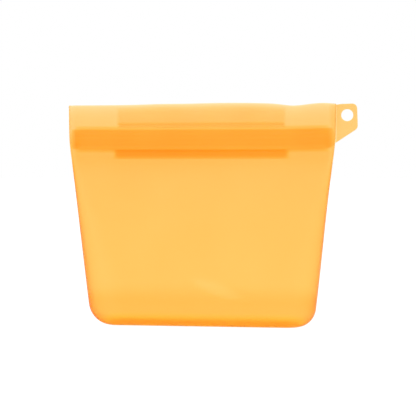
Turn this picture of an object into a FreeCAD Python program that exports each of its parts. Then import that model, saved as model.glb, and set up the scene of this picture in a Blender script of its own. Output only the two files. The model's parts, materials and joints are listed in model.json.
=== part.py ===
import FreeCAD, Part

import math
import os

import Sketcher
from FreeCAD import Placement, Rotation, Vector

# Stand-up silicone bag with a press-to-close mouth and a hanging tab.
# Millimetres, +Z up, X along the mouth, Y from the front wall (-) to the back wall (+).
# The origin is the centre of the flat base. The mouth is pressed shut.

DIMENSIONS = {
    "tray_height": (18.0, "height of the base tray, where both walls hinge"),
    "tray_half_long": (83.7, "half length of the bag at the tray"),
    "tray_half_deep": (24.0, "half depth of the bag at the tray"),
    "tray_corner": (21.0, "plan radius of the tray's corners"),
    "tray_round_end": (15.0, "rounding under the two ends of the tray"),
    "tray_round_front": (10.0, "rounding under the front and back of the tray"),
    "base_thick": (1.8, "thickness of the flat base"),
    "wall_thick": (1.5, "thickness of the walls below the mouth"),
    "bend_height": (119.7, "where the leaning walls turn upright"),
    "bend_half_long": (95.9, "half length of the bag at the bend"),
    "shoulder_height": (132.5, "where the sides of the bag turn upright"),
    "mouth_half_long": (97.6, "half length of the mouth"),
    "mouth_half_deep": (3.1, "half depth of the shut mouth"),
    "mouth_corner": (3.05, "plan radius where the mouth folds round its ends"),
    "mouth_thick": (1.2, "thickness of the walls at the mouth"),
    "mouth_height": (160.5, "overall height of the bag"),
    "lip_round": (0.45, "rounding of the free edge of each lip"),
    "bend_round": (12.0, "radius of the bend under the mouth"),
    "hinge_round": (0.7, "rounding of each wall's lower edge"),
    "gap": (0.3, "clearance between pieces that move past each other"),
    "panel_half_low": (62.15, "half length of a panel's lower edge"),
    "panel_half_high": (92.7, "half length of a panel at the mouth"),
    "zip_low": (127.2, "lower edge of the closure strips"),
    "zip_high": (141.7, "upper edge of the closure strips"),
    "zip_web": (0.7, "thickness of a closure strip's web"),
    "zip_reach": (2.0, "height of the ribs and rails above the web"),
    "zip_tooth": (2.4, "thickness of each rib and rail"),
    "zip_pitch": (5.8, "spacing of the ribs, and of the rails"),
    "zip_tip": (0.7, "rounding of the rib and rail tips"),
    "plug_gap": (0.05, "glue gap between a plug and the fold round it"),
    "bar_half_long": (61.7, "half length of the stiffeners and grips"),
    "bar_low": (121.3, "lower edge of a stiffener"),
    "bar_high": (126.9, "upper edge of a stiffener"),
    "bar_thick": (1.6, "thickness of a stiffener"),
    "bar_corner": (1.2, "corner radius of a stiffener"),
    "grip_low": (143.5, "lower edge of a grip"),
    "grip_high": (158.5, "upper edge of a grip"),
    "grip_thick": (0.4, "thickness of a grip"),
    "ridge_thick": (0.9, "thickness of the ridge along a grip's lower edge"),
    "ridge_high": (146.1, "upper edge of the ridge"),
    "tab_reach": (113.2, "distance from the bag's middle to the tab's far edge"),
    "tab_top_reach": (112.5, "the same at the tab's upper corner"),
    "tab_thick": (2.2, "thickness of the tab"),
    "tab_root_low": (132.2, "height where the tab's slanting edge starts"),
    "tab_tip_low": (142.6, "height where the slanting edge ends"),
    "tab_corner": (3.0, "radius of the tab's upper corner"),
    "tab_corner_low": (2.0, "radius of the tab's lower corner"),
    "tab_root_round": (1.09, "rounding of the tab's root, just under half its thickness"),
    "hole_reach": (105.5, "distance from the bag's middle to the hole"),
    "hole_height": (152.1, "height of the hole's centre"),
    "hole_radius": (4.25, "radius of the hanging hole"),
    "overrun": (10.0, "how far the outlines that trim a piece run past it"),
}

SAME = 0.01  # positions closer than this are the same point

doc = FreeCAD.newDocument("SiliconeBag")


def make_sheet():
    """The spreadsheet that holds every driving dimension under its alias."""
    sheet = doc.addObject("Spreadsheet::Sheet", "dims")
    for row, (alias, (size, note)) in enumerate(DIMENSIONS.items(), start=1):
        sheet.set(f"A{row}", note)
        sheet.set(f"B{row}", str(size))
        sheet.setAlias(f"B{row}", alias)
    doc.recompute()
    return sheet


sheet = make_sheet()


def size_of(expression):
    """The number that an expression over the spreadsheet gives now."""
    return float(sheet.evalExpression(expression))


def new_body(label):
    body = doc.addObject("PartDesign::Body", label)
    body.Label = label
    return body


def new_sketch(body, name, role, offset="0"):
    """A sketch on one of the body's own origin planes, moved along the plane's normal by offset."""
    sketch = body.newObject("Sketcher::SketchObject", name)
    plane = next(f for f in body.Origin.OriginFeatures if f.Role == role)
    sketch.AttachmentSupport = [(plane, "")]
    sketch.MapMode = "FlatFace"
    if offset != "0":
        sketch.setExpression(".AttachmentOffset.Base.z", offset)
    return sketch


def bind(sketch, constraint, expression):
    """Adds a dimension to a sketch and ties it to the spreadsheet."""
    index = sketch.addConstraint(constraint)
    sketch.setExpression(f"Constraints[{index}]", expression)


def draw_outline(sketch, corners):
    """A closed outline of straight lines through corners, each a pair of expressions."""
    points = [Vector(size_of(x), size_of(y), 0) for x, y in corners]
    count = len(points)
    first = sketch.GeometryCount
    for index, point in enumerate(points):
        line = Part.LineSegment(point, points[(index + 1) % count])
        sketch.addGeometry(line, False)
    for index in range(count):
        following = first + (index + 1) % count
        joined = Sketcher.Constraint("Coincident", first + index, 2, following, 1)
        sketch.addConstraint(joined)
    for index, (x, y) in enumerate(corners):
        line, point = first + index, points[index]
        bind(sketch, Sketcher.Constraint("DistanceX", -1, 1, line, 1, point.x), x)
        bind(sketch, Sketcher.Constraint("DistanceY", -1, 1, line, 1, point.y), y)


def draw_rounded_rectangle(sketch, half_x, half_y, radius):
    """A rectangle with rounded corners, centred on the sketch's origin."""
    wide, deep, corner = size_of(half_x), size_of(half_y), size_of(radius)
    flat_x, flat_y = wide - corner, deep - corner

    def side(x0, y0, x1, y1):
        sketch.addGeometry(Part.LineSegment(Vector(x0, y0, 0), Vector(x1, y1, 0)), False)

    def turn(x, y, quarter):
        circle = Part.Circle(Vector(x, y, 0), Vector(0, 0, 1), corner)
        start = quarter * math.pi / 2
        sketch.addGeometry(Part.ArcOfCircle(circle, start, start + math.pi / 2), False)

    side(-flat_x, -deep, flat_x, -deep)
    turn(flat_x, -flat_y, -1)
    side(wide, -flat_y, wide, flat_y)
    turn(flat_x, flat_y, 0)
    side(flat_x, deep, -flat_x, deep)
    turn(-flat_x, flat_y, 1)
    side(-wide, flat_y, -wide, -flat_y)
    turn(-flat_x, -flat_y, 2)
    for piece in range(8):
        sketch.addConstraint(Sketcher.Constraint("Tangent", piece, 2, (piece + 1) % 8, 1))
    for piece in (0, 4):
        sketch.addConstraint(Sketcher.Constraint("Horizontal", piece))
    for piece in (2, 6):
        sketch.addConstraint(Sketcher.Constraint("Vertical", piece))
    for piece in (3, 5, 7):
        sketch.addConstraint(Sketcher.Constraint("Equal", 1, piece))
    bind(sketch, Sketcher.Constraint("Radius", 1, corner), radius)
    bind(sketch, Sketcher.Constraint("DistanceX", -1, 1, 2, 1, wide), half_x)
    bind(sketch, Sketcher.Constraint("DistanceX", 6, 1, -1, 1, wide), half_x)
    bind(sketch, Sketcher.Constraint("DistanceY", -1, 1, 4, 1, deep), half_y)
    bind(sketch, Sketcher.Constraint("DistanceY", 0, 1, -1, 1, deep), half_y)


def pad(body, name, sketch, length, symmetric=False, reverse=False):
    feature = body.newObject("PartDesign::Pad", name)
    feature.Profile = sketch
    feature.Midplane = symmetric
    feature.Reversed = reverse
    feature.setExpression("Length", length)
    return feature


def pocket_through(body, name, sketch):
    """Cuts a sketch's outline away on both sides of its plane."""
    doc.recompute()
    before = body.Shape.Volume
    feature = body.newObject("PartDesign::Pocket", name)
    feature.Profile = sketch
    feature.Midplane = True
    feature.Type = "ThroughAll"
    doc.recompute()
    if feature.Shape.Volume > before - SAME:
        raise RuntimeError(f"{body.Label}: {name} cuts nothing")
    return feature


def edges_along(way, **where):
    """Picks the straight edges along an axis whose ends lie at the distances given for the other axes."""

    def chosen(edge):
        direction = edge.tangentAt(edge.FirstParameter)
        if abs(getattr(direction, way)) < 1 - SAME:
            return False
        ends = [vertex.Point for vertex in edge.Vertexes]
        return all(
            abs(abs(getattr(end, axis)) - size_of(distance)) < SAME
            for end in ends
            for axis, distance in where.items()
        )

    return chosen


def fillet(body, name, chosen, radius):
    """Rounds the edges that chosen picks on the body's last feature."""
    doc.recompute()
    base = body.Tip
    edges = [f"Edge{i}" for i, edge in enumerate(base.Shape.Edges, start=1) if chosen(edge)]
    feature = body.newObject("PartDesign::Fillet", name)
    feature.Base = (base, edges)
    feature.setExpression("Radius", radius)
    doc.recompute()
    return feature


def turned(feature, degrees):
    """Turns a finished piece about the bag's upright axis."""
    feature.Placement = Placement(Vector(0, 0, 0), Rotation(Vector(0, 0, 1), degrees))
    return feature


# ---------------------------------------------------------------- base tray


def tray_solid(name, inset, low):
    """A rounded block as long and deep as the tray less inset, rounded underneath more at its ends."""
    body = new_body(name)
    outline = new_sketch(body, name + "_outline", "XY_Plane", low)
    draw_rounded_rectangle(
        outline,
        f"dims.tray_half_long - {inset}",
        f"dims.tray_half_deep - {inset}",
        f"dims.tray_corner - {inset}",
    )
    pad(body, name + "_block", outline, f"dims.tray_height - {low}")
    doc.recompute()
    front = size_of(f"dims.tray_round_front - {inset}")
    end = size_of(f"dims.tray_round_end - {inset}")
    floor = size_of(low)
    flat_y = size_of("dims.tray_half_deep - dims.tray_corner") + SAME
    rounding = []
    for index, edge in enumerate(body.Shape.Edges, start=1):
        if any(abs(vertex.Z - floor) > SAME for vertex in edge.Vertexes):
            continue
        radii = [
            end if abs(edge.valueAt(at).y) <= flat_y else front
            for at in (edge.FirstParameter, edge.LastParameter)
        ]
        rounding.append((index, *radii))
    rounded = doc.addObject("Part::Fillet", name + "_rounded")
    rounded.Base = body
    rounded.Edges = rounding
    doc.recompute()
    return rounded


def base_tray():
    """The moulded bottom of the bag: a flat base inside a low rim, open on top."""
    outer = tray_solid("tray_outside", "0", "0")
    inner = tray_solid("tray_inside", "dims.wall_thick", "dims.base_thick")
    tray = doc.addObject("Part::Cut", "base_tray")
    tray.Base = outer
    tray.Tool = inner
    tray.Label = "base_tray"
    return tray


# ---------------------------------------------------------------- side walls


def side_levels(inset_low, inset_high):
    """Height, half length, half depth and corner radius of the bag at each level, less an inset."""
    mouth = (
        f"dims.mouth_half_deep - {inset_high}",
        f"dims.mouth_corner - {inset_high}",
    )
    return [
        (
            "dims.tray_height",
            f"dims.tray_half_long - {inset_low}",
            f"dims.tray_half_deep - {inset_low}",
            f"dims.tray_corner - {inset_low}",
        ),
        ("dims.bend_height", f"dims.bend_half_long - {inset_high}", *mouth),
        ("dims.shoulder_height", f"dims.mouth_half_long - {inset_high}", *mouth),
        ("dims.mouth_height", f"dims.mouth_half_long - {inset_high}", *mouth),
    ]


def loft(body, kind, name, levels):
    """A straight-sided loft through rounded rectangles, one at each level."""
    sketches = []
    for number, (height, half_x, half_y, radius) in enumerate(levels):
        sketch = new_sketch(body, f"{name}_level_{number}", "XY_Plane", height)
        draw_rounded_rectangle(sketch, half_x, half_y, radius)
        sketches.append(sketch)
    feature = body.newObject(kind, name)
    feature.Profile = sketches[0]
    feature.Sections = sketches[1:]
    feature.Ruled = True
    return feature


def side_wall(label, degrees):
    """The rounded side of the bag, from the tray up to the fold that ends the mouth."""
    body = new_body(label)
    loft(body, "PartDesign::AdditiveLoft", label + "_outside", side_levels("0", "0"))
    doc.recompute()
    inside = side_levels("dims.wall_thick", "dims.mouth_thick")
    loft(body, "PartDesign::SubtractiveLoft", label + "_inside", inside)
    cut = new_sketch(body, label + "_trim", "XZ_Plane")
    low = "dims.panel_half_low + dims.gap"
    high = "dims.panel_half_high + dims.gap"
    beyond = "-dims.mouth_half_long - dims.overrun"
    draw_outline(
        cut,
        [
            (beyond, "dims.tray_height - dims.overrun"),
            (low, "dims.tray_height - dims.overrun"),
            (low, "dims.tray_height"),
            (high, "dims.bend_height"),
            (high, "dims.mouth_height + dims.overrun"),
            (beyond, "dims.mouth_height + dims.overrun"),
        ],
    )
    pocket_through(body, label + "_open_side", cut)
    return turned(body, degrees)


def zip_plug(label, degrees):
    """The block inside the end fold that closes off the end of the closure."""
    inset = "(dims.mouth_thick + dims.plug_gap)"
    body = new_body(label)
    share = "(dims.zip_low - dims.bend_height) / (dims.shoulder_height - dims.bend_height)"
    slant = f"dims.bend_half_long + (dims.mouth_half_long - dims.bend_half_long) * {share}"
    mouth = (f"dims.mouth_half_deep - {inset}", f"dims.mouth_corner - {inset}")
    levels = [
        ("dims.zip_low", f"{slant} - {inset}", *mouth),
        ("dims.shoulder_height", f"dims.mouth_half_long - {inset}", *mouth),
        ("dims.zip_high", f"dims.mouth_half_long - {inset}", *mouth),
    ]
    loft(body, "PartDesign::AdditiveLoft", label + "_block", levels)
    cut = new_sketch(body, label + "_trim", "XZ_Plane")
    face = "dims.panel_half_high + dims.gap"
    beyond = "-dims.mouth_half_long - dims.overrun"
    draw_outline(
        cut,
        [
            (beyond, "dims.zip_low - dims.overrun"),
            (face, "dims.zip_low - dims.overrun"),
            (face, "dims.zip_high + dims.overrun"),
            (beyond, "dims.zip_high + dims.overrun"),
        ],
    )
    pocket_through(body, label + "_inner_face", cut)
    return turned(body, degrees)


# ---------------------------------------------------------------- front and back


def panel(label, degrees):
    """A wall with its lip in one sheet: leaning from the tray to the bend, upright above it."""
    body = new_body(label)
    profile = new_sketch(body, label + "_profile", "YZ_Plane")
    low = "dims.tray_height + dims.gap"
    draw_outline(
        profile,
        [
            ("-dims.tray_half_deep", low),
            ("-dims.tray_half_deep + dims.wall_thick", low),
            ("-dims.mouth_half_deep + dims.mouth_thick", "dims.bend_height"),
            ("-dims.mouth_half_deep + dims.mouth_thick", "dims.mouth_height"),
            ("-dims.mouth_half_deep", "dims.mouth_height"),
            ("-dims.mouth_half_deep", "dims.bend_height"),
        ],
    )
    pad(body, label + "_sheet", profile, "dims.panel_half_high * 2", symmetric=True)
    fillet(body, label + "_bend", edges_along("x", z="dims.bend_height"), "dims.bend_round")
    fillet(body, label + "_lip_edge", edges_along("x", z="dims.mouth_height"), "dims.lip_round")
    fillet(body, label + "_foot_edge", edges_along("x", z=low), "dims.hinge_round")
    cut = new_sketch(body, label + "_trim", "XZ_Plane")
    for side in ("", "-"):
        beyond = f"{side}(dims.mouth_half_long + dims.overrun)"
        draw_outline(
            cut,
            [
                (f"{side}dims.panel_half_low", "dims.tray_height - dims.overrun"),
                (f"{side}dims.panel_half_low", "dims.tray_height"),
                (f"{side}dims.panel_half_high", "dims.bend_height"),
                (beyond, "dims.bend_height"),
                (beyond, "dims.tray_height - dims.overrun"),
            ],
        )
    pocket_through(body, label + "_slanted_sides", cut)
    return turned(body, degrees)


def closure_strip(label, teeth, degrees):
    """One half of the press-to-close strip: a web with teeth at the given steps of half a pitch."""
    body = new_body(label)
    profile = new_sketch(body, label + "_profile", "YZ_Plane")
    back = "-dims.mouth_half_deep + dims.mouth_thick"
    web = f"{back} + dims.zip_web"
    tip = f"{web} + dims.zip_reach"
    middle = "(dims.zip_low + dims.zip_high) / 2"
    corners = [(back, "dims.zip_high"), (back, "dims.zip_low"), (web, "dims.zip_low")]
    for step in teeth:
        centre = f"{middle} + dims.zip_pitch / 2 * ({step})"
        under, over = f"{centre} - dims.zip_tooth / 2", f"{centre} + dims.zip_tooth / 2"
        corners += [(web, under), (tip, under), (tip, over), (web, over)]
    corners.append((web, "dims.zip_high"))
    draw_outline(profile, corners)
    length = "(dims.panel_half_high - dims.gap) * 2"
    pad(body, label + "_strip", profile, length, symmetric=True)
    fillet(body, label + "_tips", edges_along("x", y=tip), "dims.zip_tip")
    return turned(body, degrees)


def stiffener(label, degrees):
    """A flat bar inside the wall just below the closure, over the middle of the mouth."""
    body = new_body(label)
    inner_face = "dims.mouth_half_deep - dims.mouth_thick"
    outline = new_sketch(body, label + "_outline", "XZ_Plane", inner_face)
    draw_outline(
        outline,
        [
            ("-dims.bar_half_long", "dims.bar_low"),
            ("dims.bar_half_long", "dims.bar_low"),
            ("dims.bar_half_long", "dims.bar_high"),
            ("-dims.bar_half_long", "dims.bar_high"),
        ],
    )
    pad(body, label + "_bar", outline, "dims.bar_thick", reverse=True)
    fillet(body, label + "_corners", edges_along("y", x="dims.bar_half_long"), "dims.bar_corner")
    return turned(body, degrees)


def grip(label, degrees):
    """A thin raised panel on the outside of the lip, with a low ridge to pull on along its foot."""
    body = new_body(label)
    profile = new_sketch(body, label + "_profile", "YZ_Plane")
    face = "-dims.mouth_half_deep"
    top, ridge = f"{face} - dims.grip_thick", f"{face} - dims.ridge_thick"
    slope = "dims.ridge_thick / 2"
    draw_outline(
        profile,
        [
            (face, "dims.grip_low"),
            (face, "dims.grip_high"),
            (top, "dims.grip_high - dims.grip_thick"),
            (top, f"dims.ridge_high + {slope}"),
            (ridge, "dims.ridge_high"),
            (ridge, f"dims.grip_low + {slope}"),
        ],
    )
    pad(body, label + "_sheet", profile, "dims.bar_half_long * 2", symmetric=True)
    return turned(body, degrees)


# ---------------------------------------------------------------- hanging tab


def hang_tab():
    """The flat ear at the right end of the mouth, with its hole and a rounded root that it flexes about."""
    body = new_body("hang_tab")
    outline = new_sketch(body, "tab_outline", "XZ_Plane")
    root = "dims.mouth_half_long + dims.gap"
    draw_outline(
        outline,
        [
            (root, "dims.tab_root_low"),
            ("dims.tab_reach", "dims.tab_tip_low"),
            ("dims.tab_top_reach", "dims.mouth_height"),
            (root, "dims.mouth_height"),
        ],
    )
    pad(body, "tab_plate", outline, "dims.tab_thick", symmetric=True)

    upper = edges_along("y", x="dims.tab_top_reach", z="dims.mouth_height")
    fillet(body, "tab_upper_corner", upper, "dims.tab_corner")
    lower = edges_along("y", x="dims.tab_reach", z="dims.tab_tip_low")
    fillet(body, "tab_lower_corner", lower, "dims.tab_corner_low")
    root_edges = edges_along("z", x=root, y="dims.tab_thick / 2")
    fillet(body, "tab_root", root_edges, "dims.tab_root_round")
    hole = new_sketch(body, "tab_hole", "XZ_Plane")
    centre = Vector(size_of("dims.hole_reach"), size_of("dims.hole_height"), 0)
    hole.addGeometry(Part.Circle(centre, Vector(0, 0, 1), size_of("dims.hole_radius")), False)
    bind(hole, Sketcher.Constraint("DistanceX", -1, 1, 0, 3, centre.x), "dims.hole_reach")
    bind(hole, Sketcher.Constraint("DistanceY", -1, 1, 0, 3, centre.y), "dims.hole_height")
    bind(hole, Sketcher.Constraint("Radius", 0, size_of("dims.hole_radius")), "dims.hole_radius")
    pocket_through(body, "tab_hanging_hole", hole)
    return body


# ---------------------------------------------------------------- the whole bag

FRONT, BACK = 0, 180
RIGHT, LEFT = 0, 180
RIB_STEPS = (-1, 1)
RAIL_STEPS = (-2, 0, 2)

pieces = [base_tray(), hang_tab()]
for side, degrees in (("right", RIGHT), ("left", LEFT)):
    pieces.append(side_wall(f"{side}_side_wall", degrees))
    pieces.append(zip_plug(f"{side}_zip_plug", degrees))
for side, degrees in (("front", FRONT), ("back", BACK)):
    pieces.append(panel(f"{side}_panel", degrees))
    pieces.append(stiffener(f"{side}_stiffener", degrees))
    pieces.append(grip(f"{side}_grip", degrees))
pieces.append(closure_strip("front_zip_ribs", RIB_STEPS, FRONT))
pieces.append(closure_strip("back_zip_rails", RAIL_STEPS, BACK))

doc.recompute()
for feature in doc.Objects:
    if "Invalid" in feature.State or "Error" in feature.State:
        raise RuntimeError(f"{feature.Label} did not build: {feature.State}")

os.makedirs("parts", exist_ok=True)
for piece in pieces:
    shape = piece.Shape
    if shape.isNull() or not shape.isValid() or len(shape.Solids) != 1:
        raise RuntimeError(f"{piece.Label} is not one valid solid")
    print(f"{piece.Label}: {shape.Volume:.0f} mm3")
    shape.exportStep(f"parts/{piece.Label}.step")
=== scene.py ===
import json
import math

import bmesh
import bpy
import numpy as np
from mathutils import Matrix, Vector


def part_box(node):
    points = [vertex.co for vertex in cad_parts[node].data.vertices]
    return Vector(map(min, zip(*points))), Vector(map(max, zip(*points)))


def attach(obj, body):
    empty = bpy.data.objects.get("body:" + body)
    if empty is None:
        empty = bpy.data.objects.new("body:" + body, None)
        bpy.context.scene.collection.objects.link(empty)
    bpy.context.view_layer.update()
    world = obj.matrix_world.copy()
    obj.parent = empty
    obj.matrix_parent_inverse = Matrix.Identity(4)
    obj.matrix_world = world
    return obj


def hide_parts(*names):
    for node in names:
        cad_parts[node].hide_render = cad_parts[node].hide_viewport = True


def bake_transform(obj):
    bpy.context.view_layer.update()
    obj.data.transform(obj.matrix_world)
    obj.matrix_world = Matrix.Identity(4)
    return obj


# A stand-up bag of translucent orange silicone. Two moulded skins, front and back, meet in a parting line at
# the sides and along the base. The press-to-close strips, stiffeners and grips lie on them, and the tab hangs
# off the right end of the mouth.
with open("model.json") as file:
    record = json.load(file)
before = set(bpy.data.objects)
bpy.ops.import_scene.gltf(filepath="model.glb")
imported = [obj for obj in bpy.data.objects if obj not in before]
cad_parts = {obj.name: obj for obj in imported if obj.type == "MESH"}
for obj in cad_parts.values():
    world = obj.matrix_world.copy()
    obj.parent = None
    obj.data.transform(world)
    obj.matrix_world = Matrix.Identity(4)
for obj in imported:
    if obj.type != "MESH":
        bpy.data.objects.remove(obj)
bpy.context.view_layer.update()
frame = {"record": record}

MM = 0.001
FRONT, BACK = -1, 1

# ------------------------------------------------------------------ sizes, from the frame

tray_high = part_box("base_tray")[1]
side_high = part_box("right_side_wall")[1]
ribs_low, ribs_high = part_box("front_zip_ribs")
plug_low, plug_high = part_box("right_zip_plug")
bar_low, bar_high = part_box("front_stiffener")
grip_low, grip_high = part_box("front_grip")
tab_low, tab_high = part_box("hang_tab")
mounts = {m["name"]: m for m in frame["record"]["mounts"]}

TOP = side_high.z
RIM = tray_high.z
TRAY_HALF_LONG, TRAY_HALF_DEEP = tray_high.x, tray_high.y
MOUTH_HALF_LONG = side_high.x
MOUTH_HALF_DEEP = -grip_high.y
ZIP_LOW, ZIP_HIGH = ribs_low.z, ribs_high.z
ZIP_MIDDLE = (ZIP_LOW + ZIP_HIGH) / 2
BEND = bar_low.z - 1.6 * MM  # where the walls come together
SHOULDER = BEND + 13 * MM  # where the tapering ends turn upright

# ------------------------------------------------------------------ sizes of the moulding

TRAY_THICK = 1.84 * MM
WALL_THICK = 1.56 * MM
LIP_THICK = 1.25 * MM
BASE_THICK = 0.45 * MM
END_SHARE = 0.36  # thickness at the bag's end turns, as a share of the wall's
TRAY_CORNER = 21 * MM
MOUTH_CORNER = MOUTH_HALF_DEEP - 0.05 * MM
FOLD_REACH = 2.2 * MM  # extra length of the flat folds at the mouth's ends
LEFT_ROUND, RIGHT_ROUND, FRONT_ROUND = 15 * MM, 12.2 * MM, 12 * MM
BELLY = 1.2 * MM
DRAWN_IN = 0.5 * MM
TRAY_SHIFT = 1.0 * MM  # how far the tray stands to the right of the mouth
AIR = 0.03 * MM  # half the gap between the two skins


# ------------------------------------------------------------------ small helpers


def smooth(t):
    """0 below 0, 1 above 1 and 3t^2 - 2t^3 between."""
    t = np.clip(t, 0, 1)
    return t * t * (3 - 2 * t)


def ramp(t, ease):
    """The larger of t and 0, with the corner eased over a length of about ease."""
    return (t + np.sqrt(t * t + ease * ease)) / 2


def bump(t):
    """A bell of height 1 at 0: e to the minus t squared."""
    return np.exp(-t * t)


def add_mesh(name, points, faces, sharp=40):
    """A closed mesh with all its faces turned outwards. It is shaded smooth, except across edges sharper
    than sharp, in degrees."""
    mesh = bpy.data.meshes.new(name)
    mesh.from_pydata(np.asarray(points, float).tolist(), [], [list(map(int, f)) for f in faces])
    working = bmesh.new()
    working.from_mesh(mesh)
    bmesh.ops.recalc_face_normals(working, faces=working.faces)
    if working.calc_volume(signed=True) < 0:
        bmesh.ops.reverse_faces(working, faces=working.faces)
    working.to_mesh(mesh)
    working.free()
    mesh.polygons.foreach_set("use_smooth", np.ones(len(mesh.polygons), bool))
    mesh.set_sharp_from_angle(angle=math.radians(sharp))
    mesh.update()
    piece = bpy.data.objects.new(name, mesh)
    bpy.context.scene.collection.objects.link(piece)
    return piece


def grid_faces(rows, columns, row_loop=False, column_loop=False):
    """The quads of a grid of points stored row by row, closed round on itself where a loop is asked for."""
    r = np.arange(rows if row_loop else rows - 1)[:, None]
    c = np.arange(columns if column_loop else columns - 1)[None, :]
    r1, c1 = (r + 1) % rows, (c + 1) % columns
    around = (r * columns + c, r * columns + c1, r1 * columns + c1, r1 * columns + c)
    return np.stack(np.broadcast_arrays(*around)).reshape(4, -1).T


# ------------------------------------------------------------------ the shape of the bag


def half_long(z):
    """Half the bag's length at a height: a taper up to the shoulder, then upright. The taper is drawn in by
    half a sine wave of the way up to the power 1.6, so most above the middle."""
    taper = (MOUTH_HALF_LONG - TRAY_HALF_LONG) / (SHOULDER - RIM)
    way_up = np.clip((z - RIM) / (SHOULDER - RIM), 0, 1)
    drawn_in = DRAWN_IN * np.sin(np.pi * way_up**1.6)
    shoulder_ease = 6 * MM
    return MOUTH_HALF_LONG - taper * ramp(SHOULDER - z, shoulder_ease) - drawn_in


def half_deep(z):
    """Half the bag's depth at a height: upright at the tray, leaning in to the bend, then flat together. A
    belly of sine squared of the way up stands out from the lean."""
    bend_ease, rim_ease = 3 * MM, 12 * MM
    lean = (TRAY_HALF_DEEP - MOUTH_HALF_DEEP) / (BEND - RIM)
    straight = MOUTH_HALF_DEEP + lean * (ramp(BEND - z, bend_ease) - ramp(RIM - z, rim_ease))
    way_up = np.clip((z - RIM) / (BEND - RIM), 0, 1)
    return straight + BELLY * np.sin(np.pi * way_up) ** 2


def corner(z):
    """Plan radius of the bag's corners, which shrinks with the depth, from the tray's to the mouth's."""
    share = np.clip((half_deep(z) - MOUTH_HALF_DEEP) / (TRAY_HALF_DEEP - MOUTH_HALF_DEEP), 0, 1)
    return MOUTH_CORNER + (TRAY_CORNER - MOUTH_CORNER) * share


def folded(z):
    """0 low down and 1 from the bend up, where the bag's ends are folded flat."""
    run = 30 * MM
    return smooth((z - BEND + run) / run)


def thickness(z):
    """Wall thickness at a height: the tray's, easing to the wall's above the rim and to the lip's across
    the closure, with a low bell under the closure and an exponential thinning towards the lip's edge."""
    above_rim, bell_below, bell_width, edge_run = 9 * MM, 5 * MM, 9 * MM, 6.5 * MM
    above_tray = (WALL_THICK - TRAY_THICK) * smooth((z - RIM) / above_rim)
    bead = 0.13 * MM * bump((z - ZIP_LOW + bell_below) / bell_width)
    at_closure = (LIP_THICK - WALL_THICK) * smooth((z - ZIP_LOW) / (ZIP_HIGH - ZIP_LOW))
    at_edge = -0.5 * MM * np.exp((z - TOP) / edge_run)
    return TRAY_THICK + above_tray + bead + at_closure + at_edge


def dimple(x, z):
    """1 in the middle of a leaf-shaped hollow low on the front wall, 0 outside it. The leaf slopes down to
    the right, and its half width is a parabola of the way along. Its lower edge is a crease and its upper
    one fades out."""
    from_x, from_z = x - 16 * MM, z - 29 * MM
    slope, half_length, half_width = 0.28, 27 * MM, 5.5 * MM
    crease, fade = 1.6 * MM, 6 * MM
    along = (from_x + slope * from_z) / half_length
    across = from_z + slope * from_x
    half = half_width * np.clip(1 - along**2, 0, 1)
    return smooth((across + half) / crease) * smooth((half * 1.2 - across) / fade) * (half > 0)


def lip_wave(x):
    """How far the free edge of a lip stands above its level, as a sum of bells given by height, middle and
    width in millimetres: a long crest with a small one beside it, a short dip, and a rise towards the
    tab."""
    bells = ((1.2, 20, 42), (0.35, -30, 16), (-1.3, 66.5, 10), (0.7, 88, 9))
    level = -0.55
    return (level + sum(high * bump((x - mid * MM) / (wide * MM)) for high, mid, wide in bells)) * MM


def swell(x, z, side):
    """How far a wall stands out from its plain shape: two slow sine waves over the wall, and the front's
    dimple. All fade out at the tray, the bend and the ends."""
    ripple = 0.35 * MM * np.sin(x / (13 * MM) + 1.1 * side) * np.sin(z / (17 * MM) + 0.6)
    slant = 0.3 * MM * np.sin(x / (29 * MM) + z / (23 * MM) + side)
    dent = -0.5 * MM * dimple(x, z) * (side == FRONT)
    over_wall = smooth((z - RIM * 0.6) / RIM) * smooth((BEND - z) / (25 * MM))
    from_edge = smooth((half_long(z) - np.abs(x)) / (30 * MM))
    return (ripple + slant + dent) * over_wall * from_edge


def closure_curl(x, z):
    """How far the closure curves up towards its ends, 0.3 mm at the left one and 1.5 mm at the right one,
    times a bell of the height."""
    straight, run, height = 58 * MM, 36 * MM, 9 * MM
    rise = (0.9 * MM + 0.6 * MM * x / MOUTH_HALF_LONG) * smooth((np.abs(x) - straight) / run)
    return rise * bump((z - ZIP_MIDDLE) / height)


def settle(points, side):
    """Turns plain points of the front half into the front or back wall: swollen, waved at the lip, with the
    closure curving up at its ends and the tray standing a little to the right of the mouth."""
    x, y, z = points.T
    lip = 15 * MM
    shift = TRAY_SHIFT * smooth(1 - z / BEND)
    y = y - swell(x, z, side) * (y < -AIR)
    z = z + lip_wave(x) * smooth((z - TOP + lip) / lip) + closure_curl(x, z)
    return np.stack([x + shift, -side * y, z], 1)


def plan_columns():
    """Round half a section from the left seam to the right one: up the end, round the corner, along the
    flat and back the same way. Gives the part of each column that goes with the section's core, and the
    part that goes with its corner radius."""
    end = np.linspace(0, 1, 4)[:-1]
    turn = np.linspace(0, 1, 19)[:-1] * np.pi / 2
    flat = np.linspace(-1, 1, 151)
    core = [(-1 + 0 * end, -end), (-1 + 0 * turn, -1 + 0 * turn), (flat, -1 + 0 * flat)]
    round_ = [(-1 + 0 * end, 0 * end), (-np.cos(turn), -np.sin(turn)), (0 * flat, -1 + 0 * flat)]

    def whole(parts, axis):
        """The left half, the flat and the left half mirrored: the first axis changes its sign, the other
        does not."""
        left, middle = np.concatenate([p[axis] for p in parts[:2]]), parts[2][axis]
        return np.concatenate([left, middle, (left if axis else -left)[::-1]])

    return [whole(core, 0), whole(core, 1), whole(round_, 0), whole(round_, 1)]


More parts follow.
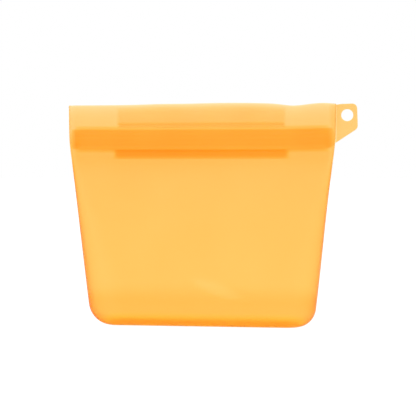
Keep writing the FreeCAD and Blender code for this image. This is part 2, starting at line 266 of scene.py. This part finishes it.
def wall_skin(side):
    """One half of the bag as a closed sheet of silicone. Each point is core + (radius - depth into the
    wall) * its column's direction. Rows run from the middle of the base out, up the wall, over the lip and
    back down inside."""
    core_x, core_y, out_x, out_y = plan_columns()
    fullness = END_SHARE + (1 - END_SHARE) * np.abs(out_y)
    rounding = FRONT_ROUND * out_y**2 + np.where(out_x > 0, RIGHT_ROUND, LEFT_ROUND) * out_x**2
    narrower_at_ends, parting_inset = 0.12, 0.03
    tuck = rounding * (1 - narrower_at_ends * out_x**2)

    def section(z, inset):
        """The half section at a height, at a depth into the wall."""
        length, depth = half_long(z), half_deep(z)
        radius = np.minimum(corner(z), depth)
        along = radius + FOLD_REACH * folded(z)
        x = (length - along) * core_x + (along - inset) * out_x
        y = (depth - radius) * core_y + (radius - inset) * out_y
        return np.stack([x, y, z + 0 * x], -1)

    def base_edge(turns, inner):
        """Rounding under the bag, from flat (a quarter turn) to upright (none), as a quarter ellipse:
        rounding high, and tuck wide, which is a little less at the ends."""
        a = np.asarray(turns)[:, None] * np.pi / 2
        inset = inner * (BASE_THICK + (TRAY_THICK * fullness - BASE_THICK) * np.cos(a))
        z = rounding - (rounding - inset) * np.sin(a)
        return section(z, tuck - (tuck - inset) * np.cos(a))

    def base_floor(edge, steps):
        """The flat base, from its edge (1) in to the parting line (0), which is a little shorter. Its inside
        rises by 0.5 mm on the way."""
        q = np.asarray(steps)[:, None]
        x, y = edge[..., 0] * (1 - parting_inset * (1 - q)), edge[..., 1] * q
        thicker = 0.5 * MM * smooth((1 - q) / 0.4) * (edge[..., 2] > 0)
        return np.stack([x, y, edge[..., 2] + thicker], -1)

    def foot(heights, inner):
        """The short upright between the rounding and the tray's rim."""
        h = np.asarray(heights)[:, None]
        return section(rounding + (RIM - rounding) * h, inner * TRAY_THICK * fullness)

    def wall_thickness(z):
        """The wall's thickness, less at the ends of the bag, above all below the fold."""
        return thickness(z) * (fullness + 0.5 * (1 - fullness) * folded(z))

    turns = np.linspace(1, 0, 15)
    steps = np.linspace(0, 1, 12)[:-1]
    heights = [0.35, 0.7]
    finer_from = BEND - 4 * MM
    below, above = np.arange(RIM, finer_from, 2.4 * MM), np.arange(finer_from, TOP - 1 * MM, 1.1 * MM)
    z = np.concatenate([below, above])[:, None]
    over = np.linspace(0, np.pi, 10)[:, None]
    half = wall_thickness(TOP) / 2
    outer_edge, inner_edge = base_edge(turns, 0), base_edge(turns, 1)

    def thinned(z):
        """How much thinner the front wall is in its dimple."""
        return 0.28 * MM * dimple(core_x * half_long(z), z) * (side == FRONT)

    rows = [
        base_floor(outer_edge[:1], steps),
        outer_edge,
        foot(heights, 0),
        section(z, 0 * z),
        section(TOP - half + half * np.sin(over), half * (1 - np.cos(over))),
        section(z, wall_thickness(z) - thinned(z))[::-1],
        foot(heights, 1)[::-1],
        inner_edge[::-1],
        base_floor(inner_edge[:1], steps)[::-1],
    ]
    grid = np.concatenate(rows)
    count, columns = grid.shape[:2]
    points = grid.reshape(-1, 3)
    points[:, 1] = np.minimum(points[:, 1], 0) - AIR
    index = np.arange(count * columns).reshape(count, columns)
    faces = [grid_faces(count, columns)]
    outside, inside = index[: count // 2], index[::-1][: count // 2]
    for column in (0, -1):
        o, i = outside[:, column], inside[:, column]
        faces.append(np.stack([o[:-1], o[1:], i[1:], i[:-1]], 1))
    o, i = outside[0], inside[0]
    faces.append(np.stack([o[:-1], o[1:], i[1:], i[:-1]], 1))
    name = "front_skin" if side == FRONT else "back_skin"
    return add_mesh(name, settle(points, side), np.concatenate(faces))


# ------------------------------------------------------------------ bars swept along the mouth


def rounded_outline(corners, radii, steps=4):
    """A closed outline through corners. Each is turned in a quadratic curve, (1-t)^2 start + 2t(1-t) corner
    + t^2 end, that starts and ends a radius from it. Long straight sides are cut into lengths of 1.5 mm at
    most, so that the outline can follow a curved wall."""
    longest = 1.5 * MM
    corners = np.asarray(corners, float)
    before, after = np.roll(corners, 1, 0) - corners, np.roll(corners, -1, 0) - corners
    radii = np.asarray(radii, float)[:, None]
    start = corners + before / np.linalg.norm(before, axis=1)[:, None] * radii
    end = corners + after / np.linalg.norm(after, axis=1)[:, None] * radii
    t = np.linspace(0, 1, steps + 1)[None, :, None]
    arcs = (1 - t) ** 2 * start[:, None] + 2 * t * (1 - t) * corners[:, None] + t**2 * end[:, None]
    points = arcs.reshape(-1, 2)
    sides = np.roll(points, -1, 0) - points
    pieces = np.ceil(np.linalg.norm(sides, axis=1) / longest + 0.001).astype(int)
    return np.concatenate([p + side * np.arange(n)[:, None] / n for p, side, n in zip(points, sides, pieces)])


def carried_along(name, outline, half_length, side, soft_end, foot_of, stations=120):
    """An outline in (rise, height) carried along the mouth. The rise is measured from foot_of(height),
    which gives y on the wall, and shrinks to a fiftieth over soft_end at both ends as 3t^2 - 2t^3."""
    left_over = 0.02
    middle = np.linspace(-1, 1, stations) * (half_length - soft_end)
    tail = half_length - soft_end * np.linspace(1, 0, 9)[1:]
    x = np.concatenate([-tail[::-1], middle, tail])[:, None]
    fade = left_over + (1 - left_over) * smooth((half_length - np.abs(x)) / soft_end)
    rise, z = outline[None, :, 0], outline[None, :, 1]
    points = np.stack([x + 0 * rise, foot_of(z) + rise * fade, z + 0 * x], -1)
    rows, columns = points.shape[:2]
    faces = grid_faces(rows, columns, column_loop=True).tolist()
    faces += [list(range(columns))[::-1], list(range((rows - 1) * columns, rows * columns))]
    return add_mesh(name, settle(points.reshape(-1, 3), side), faces)


def inner_face(z):
    """y of the front wall's inner face, just clear of it."""
    return thickness(z) - half_deep(z) + 2 * AIR


def outer_face(z):
    """y of the front wall's outer face, just clear of it."""
    return -half_deep(z) - 2 * AIR


def closure_strip(name, side, teeth):
    """A web with parallel teeth, which press between the other strip's teeth. teeth counts them in pitches
    from the middle. They grow from the lowest up and have sloping flanks, and the web thins out above the
    topmost."""
    edge, web = 0.03 * MM, 0.3 * MM
    pitch, slope, soft_end = 3.0 * MM, 0.4 * MM, 3.5 * MM
    middle = ZIP_MIDDLE + 0.3 * MM
    foot, top = ZIP_LOW - 1.7 * MM, ZIP_HIGH + 3.0 * MM
    corners, radii = [(0, top), (0, foot), (edge, foot)], [0.02, 0.02, 0.02]
    for step in teeth:
        low, high = middle + pitch * (step - 0.5), middle + pitch * (step + 0.5)
        tip = (1.4 + 0.18 * step - 0.05 * step**2) * MM
        nose = 0.45 * (tip - web) / MM
        corners += [(web, low - slope), (tip, low + slope), (tip, high - slope), (web, high + slope)]
        radii += [0.05, nose, nose, 0.05]
    corners += [(0.8 * web, middle + 2.8 * pitch), (edge, top)]
    radii += [0.02, 0.02]
    outline = rounded_outline(corners, np.array(radii) * MM)
    return carried_along(name, outline, ribs_high.x, side, soft_end, inner_face)


def stiffener(name, side):
    """A flat bar inside the wall, under the closure, thinning out to its lower edge and its ends."""
    face, edge, soft_end = 0.95 * MM, 0.1 * MM, 3.6 * MM
    half_length = bar_high.x + 2.6 * MM
    foot, head = bar_low.z - 0.6 * MM, bar_high.z + 0.4 * MM
    corners = [(0, foot), (edge, foot), (face, foot + 3 * MM), (0.8 * face, head), (0, head + 0.5 * MM)]
    outline = rounded_outline(corners, np.array([0.05, 0.05, 0.8, 0.1, 0.1]) * MM)
    return carried_along(name, outline, half_length, side, soft_end, inner_face)


def grip(name, side):
    """A thin raised panel on the lip, thinning out to its head, with a ridge to pull on along its foot."""
    sheet, ridge, edge, hem = -0.2 * MM, -0.65 * MM, -0.04 * MM, -0.05 * MM
    soft_end = 2.4 * MM
    foot, head = grip_low.z, grip_high.z
    corners = [
        (0, foot - 0.3 * MM), (0, head), (edge, head), (sheet, head - 3 * MM), (sheet, foot + 4.2 * MM),
        (ridge, foot + 2.9 * MM), (ridge, foot + 2.0 * MM), (sheet, foot + 0.9 * MM), (hem, foot - 0.3 * MM),
    ]
    radii = np.array([0.02, 0.01, 0.01, 0.6, 0.6, 0.4, 0.4, 0.3, 0.02]) * MM
    return carried_along(name, rounded_outline(corners, radii), grip_high.x, side, soft_end, outer_face)


def fold_plug(name, end):
    """The block that seals the closure in the fold at one end of the mouth. At (turn, level) it lies at
    (along, across, level) times its half sizes: along = c * ring and across = s * ring, with c and s the
    squared-off cosine and sine of turn, and ring the squared-off cosine of level. It fades in over the
    length in which the strips fade out, and narrows again beyond them."""
    half_depth, fade_in, narrowing, lifted = 0.85 * MM, 3.5 * MM, 5 * MM, 0.7 * MM
    turn = np.linspace(-np.pi, np.pi, 40, endpoint=False)[:, None]
    level = np.linspace(-0.96, 0.96, 24)[None, :] * np.pi / 2

    def squared_off(value, power):
        """The size of a value to a power below 1, with the value's own sign."""
        return np.sign(value) * np.abs(value) ** power

    ring = squared_off(np.cos(level), 0.35)
    along = squared_off(np.cos(turn), 0.6) * ring
    across = squared_off(np.sin(turn), 0.6) * ring
    inner, outer = ribs_high.x - fade_in, plug_high.x
    centre, half = (plug_low + plug_high) / 2, (plug_high - plug_low) / 2
    distance = (inner + outer) / 2 + (outer - inner) / 2 * along
    across = across * smooth((distance - inner) / fade_in)
    across = across * (1 - 0.9 * smooth((distance - ribs_high.x) / narrowing))
    x = end * distance
    z = centre.z + lifted + half.z * squared_off(np.sin(level), 0.8) + 0 * turn
    points = np.stack([x, half_depth * across, z + closure_curl(x, z)], -1)
    rows, columns = x.shape
    faces = grid_faces(rows, columns, row_loop=True).tolist()
    bottom, top = range(0, rows * columns, columns), range(columns - 1, rows * columns, columns)
    faces += [list(bottom), list(top)[::-1]]
    return add_mesh(name, points.reshape(-1, 3), faces)


# ------------------------------------------------------------------ the hanging tab


def tab_outline(count):
    """The tab's edge as a closed run of points evenly turned about the hole: straight sides with round
    corners, the lower one sloping up from the fold."""
    root, reach, top = MOUTH_HALF_LONG - 5.0 * MM, tab_high.x - 0.05 * MM, tab_high.z
    slope, narrower, shallow = 0.66, 0.7 * MM, 0.7 * MM
    tip_foot = tab_low.z + 10.4 * MM
    root_foot = tip_foot - slope * (reach - root)
    corners = [(root, root_foot), (reach, tip_foot), (reach - narrower, top), (root, top - shallow)]
    outline = rounded_outline(corners, np.array([0.2, 2.4, 4.2, 0.2]) * MM, steps=24)
    hole = np.array(mounts["hang_hole"]["pos_m"])[[0, 2]]
    closed = np.concatenate([outline, outline[:1]])
    between = np.linspace(0, 1, 60)[None, :-1, None]
    fine = (closed[:-1, None] * (1 - between) + closed[1:, None] * between).reshape(-1, 2)
    angle = np.arctan2(fine[:, 1] - hole[1], fine[:, 0] - hole[0])
    order = np.argsort(angle)
    wanted = np.linspace(-np.pi, np.pi, count, endpoint=False)
    x = np.interp(wanted, angle[order], fine[order, 0], period=2 * np.pi)
    z = np.interp(wanted, angle[order], fine[order, 1], period=2 * np.pi)
    return np.stack([x, z], 1), hole, wanted


def hanging_tab():
    """A flat ear round the hole: in each direction from the hole, a section with rounded ends, from the
    hole's wall to the edge. Inside the fold the ear thins down to a tongue."""
    edge, hole, angle = tab_outline(200)
    radius = mounts["hang_hole"]["dims"]["r_mm"] * MM
    rim = hole + radius * np.stack([np.cos(angle), np.sin(angle)], 1)
    length = np.linalg.norm(edge - rim, axis=1)[:, None]
    half, soft = tab_high.y, 0.7 * MM
    a = np.linspace(0, np.pi / 2, 6)
    across = np.linspace(0, 1, 10)[1:-1]
    inset = np.concatenate([soft * (1 - np.cos(a)), 0 * across, 0 * a])
    share = np.concatenate([0 * a, across, 0 * a + 1])
    from_rim = np.concatenate([0 * a, 0 * across, soft * (1 - np.sin(a))])
    depth = np.concatenate([soft * np.sin(a), soft + 0 * across, soft * np.cos(a)]) + half - soft
    run = inset + share * (length - 2 * soft) + soft * (share > 0) * (share < 1)
    run = np.where(share == 1, length - from_rim, run)
    run, depth = np.concatenate([run, run[:, ::-1]], 1), np.concatenate([-depth, depth[::-1]])
    toward = (rim - edge) / length
    x = edge[:, :1] + toward[:, :1] * run
    z = edge[:, 1:] + toward[:, 1:] * run
    past_fold = x - MOUTH_HALF_LONG
    tongue_start = smooth((past_fold + 4.4 * MM) / (2 * MM))
    tongue_end = smooth((-0.3 * MM - past_fold) / (1.5 * MM))
    shoulder = bump((past_fold - 0.8 * MM) / (1.8 * MM))
    ear = smooth((past_fold + MM) / (1.7 * MM))
    fullness = 0.22 * tongue_start * tongue_end + (1.12 + 0.1 * shoulder) * ear
    near_top = smooth((z - TOP + 6 * MM) / (6 * MM))
    near_fold = smooth(1 - past_fold / (4 * MM))
    z = z + lip_wave(x) * near_top * near_fold
    points = np.stack([x, depth * np.maximum(fullness, 0.03), z], -1)
    faces = grid_faces(*x.shape, row_loop=True, column_loop=True)
    return add_mesh("hanging_tab", points.reshape(-1, 3), faces)


# ------------------------------------------------------------------ baking the pieces in place


def bend_with_wall(piece):
    """Bakes the piece's transform into its mesh and reads its points."""
    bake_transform(piece)
    points = np.zeros(len(piece.data.vertices) * 3)
    piece.data.vertices.foreach_get("co", points)
    x, y, z = points.reshape(-1, 3).T


# ------------------------------------------------------------------ materials


class Nodes:
    """Short ways to add and join a material's nodes."""

    def __init__(self, name):
        self.material = bpy.data.materials.new(name)
        self.material.use_nodes = True
        self.tree = self.material.node_tree
        self.tree.nodes.clear()
        self.output = self.add("ShaderNodeOutputMaterial")
        self.shader = self.add("ShaderNodeBsdfPrincipled")
        self.join(self.shader, "BSDF", self.output, "Surface")
        self.place = self.add("ShaderNodeTexCoord")

    def add(self, kind, **values):
        """A node of a kind, with values for its sockets or, failing those, its settings."""
        node = self.tree.nodes.new(kind)
        for key, value in values.items():
            if key in node.inputs:
                node.inputs[key].default_value = value
            else:
                setattr(node, key, value)
        return node

    def join(self, a, out, b, into):
        """Leads one node's output into another's input."""
        self.tree.links.new(a.outputs[out], b.inputs[into])

    def noise(self, scale, detail=2.0, stretch=(1, 1, 1)):
        """Noise over the object's own coordinates, scale features to the metre."""
        mapping = self.add("ShaderNodeMapping", Scale=stretch)
        self.join(self.place, "Object", mapping, "Vector")
        noise = self.add("ShaderNodeTexNoise", Scale=scale, Detail=detail)
        self.join(mapping, "Vector", noise, "Vector")
        return noise

    def spread(self, source, out, low, high, start=0.3, end=0.7):
        """Maps a pattern's range from start to end onto low to high."""
        node = self.add("ShaderNodeMapRange")
        for key, value in (("From Min", start), ("From Max", end), ("To Min", low), ("To Max", high)):
            node.inputs[key].default_value = value
        self.join(source, out, node, "Value")
        return node


SILICONE_TAKES = (2.0, 198.0, 662.0)  # red, green and blue light taken up per metre
SILICONE_IOR = 1.41


def silicone(name, bends, roughness, sheen, grain, blue):
    """Moulded translucent silicone. Light is taken up by depth, so it deepens where layers lie over each
    other. The lowest few millimetres are painted a deeper amber: painted shade at the foot, where the bag
    stands on the floor. The surface is matt, with a fine spark-eroded grain, faint flow marks, and slightly
    polished and dusty patches.

    bends is the refractive index that light meets on the way in, low where the layers are in contact; sheen
    is how much of the surface gloss shows; grain is the strength of the texture; blue is how much blue
    light the surface lets through."""
    n = Nodes(name)
    shader = n.shader
    shader.inputs["IOR"].default_value = bends
    shader.inputs["Transmission Weight"].default_value = 1.0
    shader.inputs["Coat Weight"].default_value = sheen
    shader.inputs["Coat Roughness"].default_value = 0.4
    shader.inputs["Coat IOR"].default_value = SILICONE_IOR
    absorb = n.add("ShaderNodeVolumeAbsorption")
    density = max(SILICONE_TAKES)
    absorb.inputs["Density"].default_value = density
    absorb.inputs["Color"].default_value = (*[1 - t / density for t in SILICONE_TAKES], 1)
    n.join(absorb, "Volume", n.output, "Volume")

    cloud = n.noise(22, 3)
    colour = n.add("ShaderNodeValToRGB")
    deep, pale = colour.color_ramp.elements
    deep.position, pale.position = 0.3, 0.7
    deep.color = (1.0, 0.965, blue - 0.025, 1)
    pale.color = (1.0, 0.985, blue + 0.025, 1)
    n.join(cloud, "Fac", colour, "Fac")
    level = n.add("ShaderNodeSeparateXYZ")
    n.join(n.place, "Object", level, "Vector")
    # painted shade: from 3.6 mm down to 0.3 mm the colour is mixed towards a deep amber, shade painted in at
    # the foot on the floor
    above_base = n.spread(level, "Z", 0, 1, start=0.3 * MM, end=3.6 * MM)
    painted_foot_shade = n.add("ShaderNodeMixRGB", Color1=(1.0, 1.0, 0.3, 1))
    n.join(above_base, "Result", painted_foot_shade, "Fac")
    n.join(colour, "Color", painted_foot_shade, "Color2")
    n.join(painted_foot_shade, "Color", shader, "Base Color")

    patches = n.noise(60, 4)
    flow = n.noise(160, 2, stretch=(0.25, 1, 1))
    rough = n.spread(patches, "Fac", roughness - 0.06, roughness + 0.08)
    streak = n.spread(flow, "Fac", -0.03, 0.03)
    total = n.add("ShaderNodeMath", operation="ADD")
    n.tree.links.new(rough.outputs["Result"], total.inputs[0])
    n.tree.links.new(streak.outputs["Result"], total.inputs[1])
    n.join(total, "Value", shader, "Roughness")

    fine = n.noise(3500, 2)
    soft = n.noise(300, 3)
    first = n.add("ShaderNodeBump", Strength=0.25 * grain, Distance=0.05 * MM)
    second = n.add("ShaderNodeBump", Strength=0.3 * grain, Distance=0.1 * MM)
    n.join(fine, "Fac", first, "Height")
    n.join(soft, "Fac", second, "Height")
    n.join(first, "Normal", second, "Normal")
    n.join(second, "Normal", shader, "Normal")
    return n.material


# ------------------------------------------------------------------ the studio


def studio():
    """A pale floor that glows faintly, an even white surround and two broad soft lamps."""
    white = (1, 1, 1, 1)
    floor_mesh = bpy.data.meshes.new("floor")
    far, drop = 6.0, 0.2 * MM
    corners = [(-far, -far, -drop), (far, -far, -drop), (far, far, -drop), (-far, far, -drop)]
    floor_mesh.from_pydata(corners, [], [(0, 1, 2, 3)])
    floor = bpy.data.objects.new("floor", floor_mesh)
    bpy.context.scene.collection.objects.link(floor)
    pale = bpy.data.materials.new("pale_floor")
    pale.use_nodes = True
    paint = pale.node_tree.nodes["Principled BSDF"]
    paint.inputs["Base Color"].default_value = (0.12, 0.12, 0.12, 1)
    paint.inputs["Roughness"].default_value = 0.9
    paint.inputs["Specular IOR Level"].default_value = 0.0
    paint.inputs["Emission Color"].default_value = white
    paint.inputs["Emission Strength"].default_value = 1.02
    floor_mesh.materials.append(pale)

    world = bpy.data.worlds.new("white_surround")
    world.use_nodes = True
    surround = world.node_tree.nodes["Background"]
    surround.inputs["Color"].default_value = white
    surround.inputs["Strength"].default_value = 1.0
    bpy.context.scene.world = world

    for name, place, size, power in (
        ("key_lamp", (-0.5, -0.7, 0.8), 0.6, 3.0),
        ("fill_lamp", (0.7, -0.5, 0.5), 0.5, 1.5),
    ):
        lamp = bpy.data.lights.new(name, "AREA")
        lamp.size, lamp.energy = size, power
        holder = bpy.data.objects.new(name, lamp)
        bpy.context.scene.collection.objects.link(holder)
        look_at(holder, place, (0, 0, TOP / 2))


def look_at(thing, place, target):
    """Puts a lamp or camera at a place, facing a target and upright."""
    place, target = np.array(place, float), np.array(target, float)
    away = (place - target) / np.linalg.norm(place - target)
    right = np.cross((0, 0, 1), away)
    right /= np.linalg.norm(right)
    up = np.cross(away, right)
    matrix = np.eye(4)
    matrix[:3, :3] = np.stack([right, up, away], 1)
    matrix[:3, 3] = place
    thing.matrix_world = matrix.T


def camera():
    """A long lens a little above the middle of the bag, slightly towards the tab's end."""
    azimuth, elevation, distance = math.radians(5.3), math.radians(2.8), 0.675
    target = np.array([5.3 * MM, 0, 85.0 * MM])
    towards_camera = np.array([
        math.sin(azimuth) * math.cos(elevation),
        -math.cos(azimuth) * math.cos(elevation),
        math.sin(elevation),
    ])
    lens = bpy.data.cameras.new("camera")
    lens.lens, lens.sensor_width = 80, 36
    holder = bpy.data.objects.new("camera", lens)
    bpy.context.scene.collection.objects.link(holder)
    look_at(holder, target + towards_camera * distance, target)
    bpy.context.scene.camera = holder


# ------------------------------------------------------------------ the whole bag

camera()
studio()
bpy.context.scene.view_settings.view_transform = "Standard"
# a line of sight crosses up to a dozen layers, each with two faces
bpy.context.scene.cycles.max_bounces = 48
bpy.context.scene.cycles.transmission_bounces = 48
bpy.context.scene.cycles.glossy_bounces = 24

skin_finish = silicone("matt_silicone", bends=1.10, roughness=0.5, sheen=0.1, grain=1.0, blue=0.925)
strip_finish = silicone("satin_silicone", bends=1.04, roughness=0.3, sheen=0.05, grain=0.5, blue=0.84)
STRIPS = {
    FRONT: ("front_zip_rib_strip", "front_zip_ribs", (-1, 1)),
    BACK: ("back_zip_rail_strip", "back_zip_rails", (-2, 0, 2)),
}


def finish(piece, material, *nodes):
    """Gives a piece its material and slot, and hides the CAD nodes it stands for."""
    piece.data.materials.append(material)
    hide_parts(*nodes)


for side, wall in ((FRONT, "front"), (BACK, "back")):
    skin = wall_skin(side)
    bar = stiffener(wall + "_stiffener_bar", side)
    pad = grip(wall + "_grip_pad", side)
    strip_name, strip_node, teeth = STRIPS[side]
    strip = closure_strip(strip_name, side, teeth)
    for piece in (skin, bar, pad, strip):
        bend_with_wall(piece)
    finish(skin, skin_finish, wall + "_panel", "base_tray", "left_side_wall", "right_side_wall")
    finish(bar, strip_finish, wall + "_stiffener")
    finish(pad, skin_finish, wall + "_grip")
    finish(strip, strip_finish, strip_node)

for end, word in ((-1, "left"), (1, "right")):
    plug = fold_plug(word + "_fold_plug", end)
    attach(plug, "base")
    finish(plug, strip_finish, word + "_zip_plug")

tab = hanging_tab()
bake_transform(tab)
finish(tab, skin_finish, "hang_tab")

bpy.context.view_layer.update()
